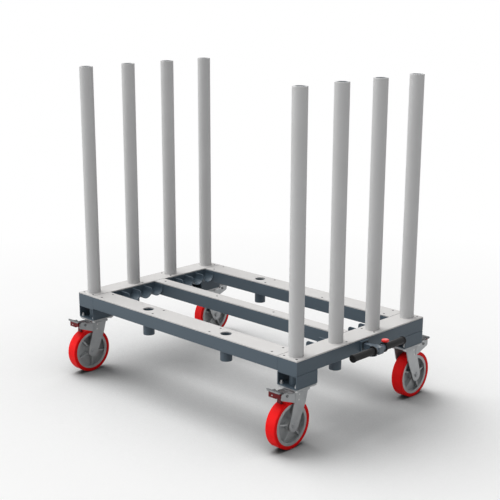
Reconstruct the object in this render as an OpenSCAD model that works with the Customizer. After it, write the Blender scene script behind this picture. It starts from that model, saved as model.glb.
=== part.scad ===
// Sheet goods cart: a welded deck frame on four braked swivel casters,
// eight upright posts in two rows, and a draw handle that pulls out of
// the centre beam. Lengths in millimetres, angles in degrees. +Z is up,
// +X points to the handle end, and the origin is the centre of the
// deck's top face.

/* [Deck frame] */
// Length of the deck over its two end beams
deck_l = 1340; // [1200:10:1500]
// Width of the deck over its two side beams
deck_w = 800; // [760:10:900]
// Height of the deck beams, without the plates
beam_h = 56; // [52:1:64]
// Width of an end beam
end_beam_w = 100; // [96:1:110]
// Width of a side beam
side_beam_w = 100; // [90:1:120]
// Width of the centre beam
centre_beam_w = 60; // [50:1:80]
// Wall of the hollow beams and corner tubes
beam_wall = 4; // [3:0.5:5]
// Corner radius along the long edges of the beams
beam_edge_r = 3; // [1:0.5:3]
// Thickness of the deck plates
plate_t = 5; // [3:0.5:6]
// Rounding of the top edges of the deck plates
plate_edge_r = 1.5; // [0.5:0.5:2.5]
// Gap between the end plates and the plates that run along the deck
plate_gap = 1; // [0.5:0.25:2]
// Height of the short tubes under the deck corners
corner_tube_h = 56; // [50:1:64]
// Length of the short tubes across the deck
corner_tube_l = 120; // [118:1:126]

/* [Posts] */
// Outer diameter of the steel core of a post
core_d = 42.4; // [38:0.1:44]
// Wall of the steel core
core_wall = 2.6; // [2:0.1:4]
// Outer diameter of the sleeve round a post
sleeve_d = 59.5; // [55:0.5:61]
// Height of a post above the deck
post_h = 1015; // [800:5:1080]
// How far the core ends below the top of the sleeve
core_recess = 10; // [4:1:20]
// Distance of the inner posts from the centre line of the deck
inner_post_y = 116; // [105:1:130]
// Distance of the spare sockets from the middle of the deck
spare_x = 240.5; // [150:0.5:400]
// Free play round a post core in its socket
post_play = 0.3; // [0.2:0.05:0.5]
// Wall of a socket tube
socket_wall = 3.5; // [3:0.1:4]
// Step left by the plate over the top of a socket tube
socket_lip = 0.75; // [0.5:0.05:1.5]

/* [Post cradles] */
// Thickness of the wall between two cradles
cradle_wall = 4.5; // [3:0.5:6]
// Length of a cradle along the deck
cradle_l = 60; // [40:1:90]
// Thickness of the cradle bottom
cradle_sheet = 3; // [2:0.5:4]
// Free play round a post that lies in a cradle
cradle_play = 1.75; // [1:0.25:2]
// Depth of the cradle axis under the deck
cradle_drop = 19; // [18:0.5:20]
// Depth of the top of the cradle walls under the deck
cradle_top_drop = 10; // [8:0.5:12]
// Rounding of the free upper corner of a cradle wall
cradle_corner_r = 12; // [6:1:20]

/* [Casters] */
// Total height of a caster from its top plate to the floor
caster_h = 248; // [244:1:256]
// Thickness of a caster's top plate
caster_plate_t = 6; // [5:0.5:7]
// Corner radius of a caster's top plate
caster_plate_r = 8; // [4:1:12]
// Diameter of the caster bolts
bolt_d = 8; // [6:0.5:10]
// Distance of the caster bolts from the ends of the top plate
bolt_inset = 12; // [10:0.5:14]
// Diameter of the swivel bearing
race_d = 90; // [80:1:96]
// Height of the swivel bearing
race_h = 7; // [6.5:0.5:9]
// Diameter of the kingpin
kingpin_d = 14; // [10:0.5:18]
// Distance from the swivel axis to the axle
trail = 53; // [50:1:56]
// Clear width between the legs of a fork
fork_gap = 60; // [58:1:64]
// Thickness of the fork sheet
fork_sheet = 4; // [3:0.5:5]
// Bend radius along the outside of a fork
fork_bend_r = 8; // [6:0.5:10]
// Radius of the rounded foot of a fork leg
fork_boss_r = 26; // [24:1:29]

/* [Wheels] */
// Radius of a wheel over its tread
wheel_r = 100; // [95:1:102]
// Width of the tread
tread_w = 50; // [48:1:54]
// Radial thickness of the tread
tread_t = 15; // [12:0.5:18]
// Corner radius of the tread
tread_edge_r = 3.5; // [2:0.5:6]
// Width of the wheel core at its rim
rim_w = 46; // [40:1:47]
// Radial thickness of the rim
rim_t = 8; // [6:0.5:10]
// Extra depth of the lip on each side of the rim
rim_lip = 4; // [2:0.5:6]
// Thickness of the lip along the axle
rim_lip_w = 4; // [3:0.5:6]
// Thickness of the web between hub and rim
web_t = 8; // [6:0.5:12]
// Radius of the wheel hub
hub_r = 26; // [22:0.5:30]
// Number of ribs on the web
rib_count = 5; // [4:1:8]
// Thickness of a rib
rib_t = 6; // [4:0.5:8]
// Diameter of the axle
axle_d = 12; // [10:0.5:14]

/* [Brake] */
// Distance of the pedal pivot beyond the sweep of the top plate's corners
pivot_out = 16; // [15:0.5:18]
// Depth of the pedal pivot under the corner tube
pivot_drop = 16; // [15.5:0.5:18]
// Distance of the ends of the fork wings beyond the pedal pivot
wing_out = 30.5; // [28:0.5:31]
// Height of the ends of the fork wings
wing_h = 25; // [24:0.5:26]
// Corner radius of the ends of the fork wings
wing_r = 6; // [5:0.5:8]
// Slope of the free pedal, in degrees
pedal_tilt = 22; // [20:1:24]
// Length of the pedal from its pivot to its outer edge
pedal_l = 46; // [45:0.5:50]
// Width of the foot of the pedal
pedal_w = 78; // [70:1:84]
// Depth of the foot of the pedal
foot_l = 12.5; // [10:0.5:12.5]
// Thickness of the pedal sheet
pedal_t = 3; // [2:0.5:3.5]
// Height of the turned-down edge of the foot
pedal_lip_h = 7; // [5:0.5:8]
// Diameter of the pedal pin
pedal_pin_d = 8; // [6:0.5:9]
// Depth of the red block
block_depth = 16; // [14:0.5:17]
// Depth of the bottom of the red block under the pivot
block_drop = 9; // [7:0.5:10]
// Width of the deep side of the red block
block_deep_w = 38; // [30:0.5:44]
// How far the pedal turns from free to locked, in degrees
pedal_travel = 14; // [8:1:16]

/* [Draw handle] */
// Width of the square drawbar tube
drawbar_w = 22; // [18:0.5:26]
// Wall of the drawbar tube
drawbar_wall = 2.5; // [2:0.25:4]
// Depth of the drawbar axis under the deck
drawbar_drop = 30; // [28:0.5:32]
// Distance of the handle axis from the end beam
handle_out = 74; // [70:1:90]
// Length of drawbar inside the frame, behind the end face
drawbar_inside = 800; // [500:10:900]
// Length of the slide block on the inner end of the drawbar
slide_block_l = 40; // [30:1:60]
// Length of the handle over both grips
handle_l = 326; // [280:2:360]
// Diameter of the handle hub
handle_hub_d = 29; // [26:0.5:32]
// Width of the handle hub
handle_hub_w = 62; // [58:1:68]
// Width of the block in the middle of the hub
hub_block_w = 28; // [27:0.5:36]
// Height of that block
hub_block_h = 30; // [28:0.5:36]
// Diameter of the bar through the grips
handle_bar_d = 20; // [16:0.5:22]
// Diameter of a grip
grip_d = 29; // [27:0.5:33]
// Diameter of the grip collars beside the hub
collar_d = 39; // [38:0.5:42]
// Thickness of a grip collar
collar_l = 5; // [4:0.5:8]
// Diameter of the red release button
button_d = 31; // [26:0.5:32]
// Height of the button's cap
button_h = 8; // [6:0.5:12]
// Travel of the release button
button_travel = 3; // [2:0.5:3]

/* [Hidden] */
$fn = 64;
// Clearances
pin_play = 0.05;
bond_gap = 0.05;
slide_play = 0.3;
swivel_gap = 0.5;
side_play = 1;
cut = 1;

// Levels, measured down from the deck's top face
beam_top = -plate_t;
beam_bot = beam_top - beam_h;
tube_bot = beam_bot - corner_tube_h;
tube_floor = tube_bot + beam_wall;
cplate_bot = tube_bot - caster_plate_t;
race_bot = cplate_bot - race_h;
crown_top = race_bot - swivel_gap;
floor_z = tube_bot - caster_h;
axle_z = floor_z + wheel_r;
pivot_z = tube_bot - pivot_drop;

// Deck layout
end_x = deck_l / 2 - end_beam_w / 2;
bay_x = deck_l / 2 - end_beam_w;
side_y = deck_w / 2 - side_beam_w / 2;
bay_out = deck_w / 2 - side_beam_w;
bay_in = centre_beam_w / 2;
caster_y = deck_w / 2 - corner_tube_l / 2;
end_face = deck_l / 2;

// Sockets
socket_ri = core_d / 2 + post_play;
socket_ro = socket_ri + socket_wall;
mouth_r = socket_ro - socket_lip;
core_foot = 3;
socket_bot = tube_floor;
SIDES = [-1, 1];
END_SOCKETS = [for (sx = SIDES) for (y = [-side_y, -inner_post_y, inner_post_y, side_y])
    [sx * end_x, y]];
SPARE_SOCKETS = [for (sx = SIDES) for (sy = SIDES) [sx * spare_x, sy * side_y]];

// Cradles
cradle_ri = sleeve_d / 2 + cradle_play;
cradle_ro = cradle_ri + cradle_sheet;
bay_w = bay_out - bay_in;
cradle_pitch = 2 * cradle_ri + cradle_wall;
count_slack = 0.001;
cradle_count = floor(bay_w / cradle_pitch + count_slack);
row_w = cradle_count * cradle_pitch;

// Fork outline, as shares of the trail and of the leg height
leg_h = crown_top - axle_z;
leg_back_shares = [[-0.68, 1], [-0.68, 0.94], [-0.45, 0.92], [-0.21, 0.586]];
leg_front_shares = [[0.96, 0.688], [0.96, 1]];
wing_root_shares = [0.53, 0.97];
crown_end_share = 1.16;
swing_gap = 4;
swing_r = norm([end_beam_w, corner_tube_l]) / 2;
pivot_y = swing_r + pivot_out;
wing_ramp_y = swing_r + swing_gap + fork_sheet / 2;
wing_ramp = 8;
wing_rise = 11.5;
wing_end = pivot_y + wing_out;

// Wheel
core_r = wheel_r - tread_t;
rim_in_r = core_r - rim_t;
hub_w = fork_gap - 2 * side_play;
hub_face_w = rim_w + 3;
spacer_r = 13;
rib_sink = 3;
rib_low = 7;
rib_phase = 30;
rib_turn = 37;
tread_lip = 2;
axle_head_t = 4;
axle_head_r = 11;
axle_tip = 1.5;

// Caster bolts
bolt_head_h = 5.5;
bolt_head_share = 0.94;
bolt_head_r = bolt_head_share * bolt_d;
bolt_nut_h = 8;
bolt_tip = 6;
bolt_wall_gap = 1;
bolt_x = end_beam_w / 2 - beam_wall - bolt_wall_gap - bolt_head_r * cos(30);
bolt_y = corner_tube_l / 2 - bolt_inset;
kingpin_head_r = 12;
kingpin_head_h = 5;
race_waist = 2;
race_waist_h = 1.5;

// Brake
pin_sleeve_r = 8;
sleeve_step = 1.5;
pedal_seat = pin_sleeve_r - pedal_t - sleeve_step;
sleeve_w = fork_gap - 2 * side_play;
stem_w = sleeve_w - 2 * side_play;
foot_r = 4;
pin_head_t = 2;
pin_head_r = 6;
lip_inset = 6;
block_w = fork_gap - 2 * side_play;
block_tall = 36;
block_r = 2;
block_step = 6;
block_front = pivot_y + pedal_l * cos(pedal_tilt) - 2 * pedal_t;
ear_w = 46;
ear_wall = 5;
shoe_w = 20;
shoe_ring_r = 11.5;
shoe_tip_r = 5;
shoe_t = 10;
shoe_clear = 0.4;
shoe_lead = 25;
pivot_gap = norm([pivot_y - trail, pivot_z - axle_z]);
centre_line = atan2(axle_z - pivot_z, trail - pivot_y);
pressed = shoe_lead - pedal_travel;
shoe_c = pivot_gap * cos(pressed)
    - sqrt(pow(wheel_r + shoe_tip_r + shoe_clear, 2) - pow(pivot_gap * sin(pressed), 2));

// Draw handle
handle_x = end_face + handle_out;
drawbar_z = -drawbar_drop;
guide_w = 54;
guide_h = 43;
guide_l = 8;
guide_pocket_w = 38;
guide_pocket_h = 31;
guide_pocket_t = 5;
guide_r = 4;
beam_play = 1;
hub_back = 26;
hub_front = 16;
hub_block_r = 3;
hub_cover = 1.5;
bar_clear = 2;
grip_flare = 2;
grip_flare_l = 7;
grip_cap = 6;
grip_end_r = 3;
boss_r = 10;
boss_rise = 0.5;
boss_top = drawbar_z + collar_d / 2 + boss_rise;
stem_r = 6;
button_gap = 0.5;
stem_in = boss_top - drawbar_z - handle_bar_d / 2 - button_travel - button_gap;
button_under = boss_top + button_gap + button_travel;
button_edge_r = 4;
button_step = 6;
button_y = handle_hub_w / 2 + collar_l + button_step;

// Point where the tangent from p touches the circle round c with radius r
function tangent(p, c, r, side) =
    let (d = c - p, run = norm(d), a = atan2(d[1], d[0]) + side * asin(r / run))
    p + sqrt(run * run - r * r) * [cos(a), sin(a)];

// Rectangle with four round corners, centred
module round_rect(w, h, r) {
    square([w - 2 * r, h], center = true);
    square([w, h - 2 * r], center = true);
    for (sx = SIDES) for (sy = SIDES)
        translate([sx * (w / 2 - r), sy * (h / 2 - r)]) circle(r);
}

// Cross-section of a rectangular hollow section, centred
module hollow_rect(w, h, wall, r) {
    difference() {
        round_rect(w, h, r);
        square([w - 2 * wall, h - 2 * wall], center = true);
    }
}

// Extrusions of an outline drawn in the plane across the named axis
module along_x(len) { rotate([90, 0, 90]) linear_extrude(len, center = true) children(); }
module along_y(len) { rotate([90, 0, 0]) linear_extrude(len, center = true) children(); }

// Side view of a plate whose top edges are rounded, standing on the axis
module soft_edge(w, t, r) {
    translate([-w / 2, 0]) square([w, t - r]);
    translate([r - w / 2, 0]) square([w - 2 * r, t]);
    for (s = SIDES) translate([s * (w / 2 - r), t - r]) circle(r);
}

// Plate with rounded top edges, its top face at z = 0
module soft_plate(lx, ly) {
    translate([0, 0, -plate_t]) intersection() {
        along_y(ly) soft_edge(lx, plate_t, plate_edge_r);
        along_x(lx) soft_edge(ly, plate_t, plate_edge_r);
    }
}

// Upright holes at a list of places, from one level to another
module upright_holes(places, r, low, high) {
    for (p = places) translate([p[0], p[1], low]) cylinder(h = high - low, r = r);
}

// Deck frame

// End beam of closed rectangular tube, with holes for its four sockets
module end_beam_body() {
    difference() {
        translate([0, 0, beam_top - beam_h / 2]) difference() {
            along_y(deck_w) round_rect(end_beam_w, beam_h, beam_edge_r);
            cube([end_beam_w, deck_w, beam_h] - 2 * beam_wall * [1, 1, 1], center = true);
        }
        for (y = [-side_y, -inner_post_y, inner_post_y, side_y])
            translate([0, y, beam_bot - cut])
                cylinder(h = beam_h + 2 * cut, r = socket_ro + bond_gap);
    }
}

module end_beam_left() {
    color("slategray") translate([-end_x, 0, 0]) end_beam_body();
}

module end_beam_right() {
    color("slategray") translate([end_x, 0, 0]) difference() {
        end_beam_body();
        translate([0, 0, drawbar_z])
            cube([end_beam_w + 2 * cut, drawbar_w + 2 * beam_play, drawbar_w + 2 * beam_play],
                center = true);
    }
}

module side_beams() {
    color("slategray") for (sy = SIDES) difference() {
        translate([0, sy * side_y, beam_top - beam_h / 2])
            along_x(2 * bay_x) hollow_rect(side_beam_w, beam_h, beam_wall, beam_edge_r);
        upright_holes(SPARE_SOCKETS, socket_ro + bond_gap, beam_bot - cut, beam_top + cut);
    }
}

module centre_beam() {
    color("slategray") translate([0, 0, beam_top - beam_h / 2])
        along_x(2 * bay_x) hollow_rect(centre_beam_w, beam_h, beam_wall, beam_edge_r);
}

// Short open tubes across the deck corners, which carry the casters
module corner_tubes() {
    color("slategray") for (sx = SIDES) for (sy = SIDES)
        translate([sx * end_x, sy * caster_y, 0]) difference() {
            translate([0, 0, beam_bot - corner_tube_h / 2]) along_y(corner_tube_l)
                hollow_rect(end_beam_w, corner_tube_h, beam_wall, beam_edge_r);
            translate([0, sy * (side_y - caster_y), beam_bot - 2 * beam_wall])
                cylinder(h = 3 * beam_wall, r = socket_ro + bond_gap);
            bolt_places() translate([0, 0, tube_bot - cut])
                cylinder(h = beam_wall + 2 * cut, r = bolt_d / 2 + pin_play);
        }
}

// Twelve upright socket tubes, eight under the posts and four spare
module post_sockets() {
    color("dimgray") difference() {
        upright_holes(concat(END_SOCKETS, SPARE_SOCKETS), socket_ro, socket_bot, beam_top);
        upright_holes(concat(END_SOCKETS, SPARE_SOCKETS), socket_ri, socket_bot - cut,
            beam_top + cut);
    }
}

module end_plates() {
    color("gainsboro") difference() {
        for (sx = SIDES) translate([sx * end_x, 0, 0]) soft_plate(end_beam_w, deck_w);
        upright_holes(END_SOCKETS, mouth_r, -plate_t - cut, cut);
    }
}

module side_plates() {
    color("gainsboro") difference() {
        for (sy = SIDES) translate([0, sy * side_y, 0]) soft_plate(2 * (bay_x - plate_gap), side_beam_w);
        upright_holes(SPARE_SOCKETS, mouth_r, -plate_t - cut, cut);
    }
}

module centre_plate() {
    color("gainsboro") soft_plate(2 * (bay_x - plate_gap), centre_beam_w);
}

// Row of troughs that hold the posts lying flat, seen along the deck.
// The row starts at y = 0 and its troughs share the walls between them.
module cradle_section() {
    wall_top = -cradle_top_drop - cradle_wall / 2;
    difference() {
        intersection() {
            union() {
                for (i = [0:cradle_count - 1])
                    translate([(i + 0.5) * cradle_pitch, -cradle_drop]) circle(cradle_ro);
                for (i = [0:cradle_count]) {
                    translate([i * cradle_pitch - cradle_wall / 2, -cradle_drop])
                        square([cradle_wall, wall_top + cradle_drop]);
                    translate([i * cradle_pitch, wall_top]) circle(cradle_wall / 2);
                }
            }
            translate([0, -cradle_drop - cradle_ro]) square([row_w, cradle_ro + cradle_drop]);
        }
        for (i = [0:cradle_count - 1]) translate([(i + 0.5) * cradle_pitch, -cradle_drop]) {
            circle(cradle_ri);
            translate([-cradle_ri, 0]) square([2 * cradle_ri, cradle_drop]);
        }
    }
}

// One row of cradles on the right-hand end beam, in the rear bay
module cradle_row() {
    high = -cradle_top_drop;
    low = -cradle_drop - cradle_ro;
    intersection() {
        translate([bay_x - cradle_l / 2, bay_in + (bay_w - row_w) / 2, 0])
            along_x(cradle_l) cradle_section();
        translate([0, bay_in + bay_w / 2, 0]) along_y(bay_w) {
            translate([bay_x - cradle_l + cradle_corner_r, low])
                square([cradle_l - cradle_corner_r, high - low]);
            translate([bay_x - cradle_l, low])
                square([cradle_l, high - low - cradle_corner_r]);
            translate([bay_x - cradle_l + cradle_corner_r, high - cradle_corner_r])
                circle(cradle_corner_r);
        }
    }
}

module cradle_at(sx, sy) {
    color("slategray") mirror([sx < 0 ? 1 : 0, 0, 0]) mirror([0, sy < 0 ? 1 : 0, 0])
        cradle_row();
}

// Posts

module post_core(i) {
    p = END_SOCKETS[i - 1];
    color("silver") translate([p[0], p[1], socket_bot + core_foot]) difference() {
        cylinder(h = post_h - core_recess - socket_bot - core_foot, r = core_d / 2);
        translate([0, 0, -cut])
            cylinder(h = post_h - core_recess - socket_bot - core_foot + 2 * cut,
                r = core_d / 2 - core_wall);
    }
}

module post_sleeve(i) {
    p = END_SOCKETS[i - 1];
    ri = core_d / 2 + bond_gap;
    t = sleeve_d / 2 - ri;
    er = t / 4;
    color("lightgray") translate([p[0], p[1], 0]) rotate_extrude() {
        translate([ri, 0]) square([t, post_h - er]);
        translate([ri + er, 0]) square([t - 2 * er, post_h]);
        for (x = [ri + er, ri + t - er]) translate([x, post_h - er]) circle(er);
    }
}

// Casters, drawn at the swivel axis with the axle towards +Y

module at_caster(sx, sy) {
    translate([sx * end_x, sy * caster_y, 0]) mirror([0, sy < 0 ? 1 : 0, 0]) children();
}

module bolt_places() {
    for (sx = SIDES) for (sy = SIDES)
        translate([sx * bolt_x, sy * bolt_y, 0]) rotate(30) children();
}

// Top plate, grooved bearing ring and kingpin of each caster
module caster_plates() {
    color("silver") for (sx = SIDES) for (sy = SIDES) at_caster(sx, sy) {
        translate([0, 0, cplate_bot]) linear_extrude(caster_plate_t) difference() {
            round_rect(end_beam_w, corner_tube_l, caster_plate_r);
            bolt_places() circle(bolt_d / 2 + pin_play);
        }
        translate([0, 0, race_bot]) rotate_extrude() difference() {
            square([race_d / 2, race_h]);
            translate([race_d / 2 - race_waist, race_h / 2 - race_waist_h / 2])
                square([race_waist + cut, race_waist_h]);
        }
        kingpin_bot = crown_top - fork_sheet - swivel_gap - kingpin_head_h;
        translate([0, 0, kingpin_bot]) cylinder(h = race_bot - kingpin_bot, r = kingpin_d / 2);
        translate([0, 0, kingpin_bot]) cylinder(h = kingpin_head_h, r = kingpin_head_r);
    }
}

module caster_bolts() {
    color("whitesmoke") for (sx = SIDES) for (sy = SIDES) at_caster(sx, sy) bolt_places() {
        translate([0, 0, cplate_bot - bolt_head_h])
            cylinder(h = bolt_head_h, r = bolt_head_r, $fn = 6);
        translate([0, 0, cplate_bot - bolt_head_h])
            cylinder(h = tube_floor + bolt_nut_h + bolt_tip - cplate_bot + bolt_head_h,
                r = bolt_d / 2);
        translate([0, 0, tube_floor]) cylinder(h = bolt_nut_h, r = bolt_head_r, $fn = 6);
    }
}

function leg_point(s) = [s[0] * trail, axle_z + s[1] * leg_h];

// Side view of a fork leg, in the plane of Y and Z
module leg_outline() {
    boss = [trail, axle_z];
    back = [for (s = leg_back_shares) leg_point(s)];
    front = [for (s = leg_front_shares) leg_point(s)];
    polygon(concat(back, [tangent(back[3], boss, fork_boss_r, -1), boss,
        tangent(front[0], boss, fork_boss_r, 1)], front));
    translate(boss) circle(fork_boss_r);
}

// Side view of the wing that carries the pedal pivot
module wing_outline() {
    top = pivot_z + wing_rise;
    high = [wing_end - wing_r, top - wing_r];
    low = [wing_end - wing_r, top - wing_h + wing_r];
    root = leg_point(leg_front_shares[0]);
    polygon([leg_point(wing_root_shares), root, tangent(root, low, wing_r, -1), low,
        low + [wing_r, 0], high + [wing_r, 0], high, high + [0, wing_r],
        [wing_ramp_y + wing_ramp, top], [wing_ramp_y, crown_top]]);
    for (p = [high, low]) translate(p) circle(wing_r);
}

// Pressed fork: a folded sheet cut to the outline of its legs, with a
// flat crown under the bearing and two wings for the brake pedal
module fork_body() {
    outer_w = fork_gap + 2 * fork_sheet;
    low = axle_z - fork_boss_r - cut;
    span = wing_end;
    difference() {
        union() {
            intersection() {
                translate([0, span / 2 - trail, 0]) along_y(span + trail) difference() {
                    union() {
                        translate([-outer_w / 2, low])
                            square([outer_w, crown_top - low - fork_bend_r]);
                        translate([fork_bend_r - outer_w / 2, low])
                            square([outer_w - 2 * fork_bend_r, crown_top - low]);
                        for (s = SIDES)
                            translate([s * (outer_w / 2 - fork_bend_r), crown_top - fork_bend_r])
                                circle(fork_bend_r);
                    }
                    translate([-fork_gap / 2, low - cut])
                        square([fork_gap, crown_top - fork_sheet - low + cut]);
                }
                along_x(outer_w + cut) leg_outline();
            }
            for (s = SIDES) translate([s * (fork_gap + fork_sheet) / 2, 0, 0])
                along_x(fork_sheet) wing_outline();
        }
        translate([-fork_gap / 2, crown_end_share * trail, crown_top - fork_sheet - cut])
            cube([fork_gap, span, fork_sheet + 2 * cut]);
        translate([0, 0, crown_top - fork_sheet - cut])
            cylinder(h = fork_sheet + 2 * cut, r = kingpin_d / 2 + pin_play);
        translate([0, trail, axle_z]) rotate([0, 90, 0])
            cylinder(h = outer_w + 2 * cut, r = axle_d / 2 + pin_play, center = true);
        translate([0, pivot_y, pivot_z]) rotate([0, 90, 0])
            cylinder(h = outer_w + 2 * cut, r = pedal_pin_d / 2 + pin_play, center = true);
    }
}

// Axle bolt with a hexagon head and nut against the fork legs
module axle_body() {
    reach = fork_gap / 2 + fork_sheet;
    translate([0, trail, axle_z]) rotate([0, 90, 0]) {
        translate([0, 0, -reach - axle_head_t])
            cylinder(h = 2 * (reach + axle_head_t) + axle_tip, r = axle_d / 2);
        translate([0, 0, -reach - axle_head_t])
            cylinder(h = axle_head_t, r = axle_head_r, $fn = 6);
        translate([0, 0, reach]) cylinder(h = axle_head_t, r = axle_head_r, $fn = 6);
    }
}

// Cast wheel core: hub, web, tapering ribs on both sides and a lipped rim
module wheel_core_body(phase) {
    translate([0, trail, axle_z]) rotate([0, 90, 0]) difference() {
        union() {
            cylinder(h = hub_face_w, r = hub_r, center = true);
            cylinder(h = hub_w, r = spacer_r, center = true);
            cylinder(h = web_t, r = rim_in_r + rib_sink, center = true);
            rotate_extrude() {
                translate([rim_in_r, -rim_w / 2]) square([rim_t, rim_w]);
                for (s = SIDES)
                    translate([rim_in_r - rim_lip, s * (rim_w - rim_lip_w) / 2 - rim_lip_w / 2])
                        square([rim_t + rim_lip, rim_lip_w]);
            }
            for (i = [0:rib_count - 1]) rotate(phase + i * 360 / rib_count)
                rotate([90, 0, 0]) linear_extrude(rib_t, center = true)
                    polygon([[hub_r - rib_sink, -rim_w / 2], [hub_r - rib_sink, rim_w / 2],
                        [rim_in_r + rib_sink, rim_w / 2 - rib_low],
                        [rim_in_r + rib_sink, rib_low - rim_w / 2]]);
        }
        cylinder(h = hub_w + 2 * cut, r = axle_d / 2 + pin_play, center = true);
    }
}

// Tread bonded round the rim, lapping a little over its sides
module tread_body() {
    inner = core_r + bond_gap;
    translate([0, trail, axle_z]) rotate([0, 90, 0]) rotate_extrude() {
        translate([inner, -rim_w / 2]) square([wheel_r - tread_edge_r - inner, rim_w]);
        translate([inner + tread_lip, -tread_w / 2])
            square([wheel_r - tread_edge_r - inner - tread_lip, tread_w]);
        translate([inner, tread_edge_r - tread_w / 2])
            square([wheel_r - inner, tread_w - 2 * tread_edge_r]);
        for (s = SIDES) translate([wheel_r - tread_edge_r, s * (tread_w / 2 - tread_edge_r)])
            circle(tread_edge_r);
    }
}

// Pressed pedal: a stem rolled round the pivot pin, and a wide foot with
// a turned-down edge
module brake_pedal_body() {
    top = pedal_seat + pedal_t;
    translate([0, pivot_y, pivot_z]) {
        rotate([pedal_tilt, 0, 0]) {
            translate([0, 0, pedal_seat]) linear_extrude(pedal_t) {
                translate([0, (pedal_l - foot_r) / 2])
                    square([stem_w, pedal_l - foot_r], center = true);
                translate([0, pedal_l - foot_l / 2]) round_rect(pedal_w, foot_l, foot_r);
            }
            translate([lip_inset - pedal_w / 2, pedal_l - pedal_t, top - pedal_lip_h])
                cube([pedal_w - 2 * lip_inset, pedal_t, pedal_lip_h - pedal_t / 2]);
        }
        rotate([0, 90, 0]) {
            cylinder(h = sleeve_w, r = pin_sleeve_r, center = true);
            cylinder(h = fork_gap + 2 * (fork_sheet + pin_play + pin_head_t),
                r = pedal_pin_d / 2, center = true);
            for (s = SIDES)
                translate([0, 0, s * (fork_gap / 2 + fork_sheet + pin_play + pin_head_t / 2)])
                    cylinder(h = pin_head_t, r = pin_head_r, center = true);
        }
    }
}

// Side view of all the room under the pedal's plate
module under_pedal() {
    translate([pivot_y, pivot_z]) rotate(pedal_tilt) translate([-2 * pedal_l, -4 * pedal_l])
        square([4 * pedal_l, 4 * pedal_l + pedal_seat - bond_gap]);
}

// Red block under the pedal, on ears round the pin sleeve, with the brake
// shoe that reaches down to the tread
module pedal_block_body() {
    low = pivot_z - block_drop;
    back = block_front - block_depth;
    difference() {
        intersection() {
            union() {
                translate([0, back + block_depth / 2, low + block_step + block_tall / 2])
                    along_x(block_w) round_rect(block_depth, block_tall, block_r);
                translate([(block_deep_w - block_w) / 2, back + block_depth / 2, low + block_tall / 2])
                    along_x(block_deep_w) round_rect(block_depth, block_tall, block_r);
                along_x(ear_w) translate([pivot_y, pivot_z - ear_wall])
                    square([back + block_r - pivot_y, 2 * ear_wall]);
                along_x(shoe_w) translate([pivot_y, pivot_z]) {
                    circle(shoe_ring_r);
                    rotate(centre_line + shoe_lead) {
                        translate([0, -shoe_t / 2]) square([shoe_c, shoe_t]);
                        translate([shoe_c, 0]) circle(shoe_tip_r);
                    }
                }
            }
            along_x(block_w + cut) under_pedal();
        }
        translate([0, pivot_y, pivot_z]) rotate([0, 90, 0])
            cylinder(h = fork_gap, r = pin_sleeve_r + bond_gap, center = true);
    }
}

// Draw handle

// Guide on the outer face of the end beam, with a close bore behind a pocket
module drawbar_guide() {
    bore = drawbar_w + 2 * slide_play;
    color("darkslategray") translate([end_face + guide_l / 2, 0, drawbar_z]) difference() {
        along_x(guide_l) round_rect(guide_w, guide_h, guide_r);
        cube([guide_l + 2 * cut, bore, bore], center = true);
        translate([guide_l / 2 - guide_pocket_t / 2, 0, 0])
            cube([guide_pocket_t + cut, guide_pocket_w, guide_pocket_h], center = true);
    }
}

// Square tube with a slide block that runs inside the centre beam
module drawbar() {
    back = end_face - drawbar_inside;
    front = handle_x - handle_bar_d / 2 - bar_clear;
    block_w = centre_beam_w - 2 * (beam_wall + slide_play);
    block_tall = beam_h - 2 * (beam_wall + slide_play);
    color("slategray") {
        translate([(back + front) / 2, 0, drawbar_z]) along_x(front - back)
            hollow_rect(drawbar_w, drawbar_w, drawbar_wall, drawbar_wall / 2);
        translate([back + slide_block_l / 2, 0, beam_top - beam_h / 2])
            cube([slide_block_l, block_w, block_tall], center = true);
    }
}

// Cast hub: a tube across the end of the drawbar with a block that holds
// the drawbar, and a bar through both grips
module handle_hub() {
    block_top = drawbar_z + drawbar_w / 2 + hub_cover;
    color("slategray") difference() {
        union() {
            translate([handle_x, 0, drawbar_z]) rotate([90, 0, 0]) {
                for (s = SIDES) translate([0, 0, s * (handle_hub_w + hub_block_w - 2 * hub_cover) / 4])
                    cylinder(h = (handle_hub_w - hub_block_w) / 2 + hub_cover,
                        r = handle_hub_d / 2, center = true);
                cylinder(h = handle_l - 2 * grip_cap, r = handle_bar_d / 2, center = true);
            }
            translate([handle_x + (hub_front - hub_back) / 2, 0, block_top - hub_block_h / 2])
                along_y(hub_block_w) round_rect(hub_front + hub_back, hub_block_h, hub_block_r);
        }
        translate([handle_x - hub_back - cut, -drawbar_w / 2 - bond_gap,
            drawbar_z - drawbar_w / 2 - bond_gap])
            cube([cut + hub_back - handle_bar_d / 2 - bar_clear + bond_gap,
                drawbar_w + 2 * bond_gap, drawbar_w + 2 * bond_gap]);
    }
}

// Outline of one grip from the hub outwards, radius against length
module grip_outline() {
    len = handle_l / 2 - handle_hub_w / 2;
    difference() {
        union() {
            square([collar_d / 2, collar_l]);
            square([grip_d / 2, len - grip_end_r]);
            translate([0, len - grip_flare_l])
                square([grip_d / 2 + grip_flare, grip_flare_l - grip_end_r]);
            square([grip_d / 2 + grip_flare - grip_end_r, len]);
            translate([grip_d / 2 + grip_flare - grip_end_r, len - grip_end_r])
                circle(grip_end_r);
        }
        translate([0, -cut])
            square([handle_bar_d / 2 + bond_gap, len - grip_cap + bond_gap + cut]);
        translate([-collar_d, -cut]) square([collar_d, len + 2 * cut]);
    }
}

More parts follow.
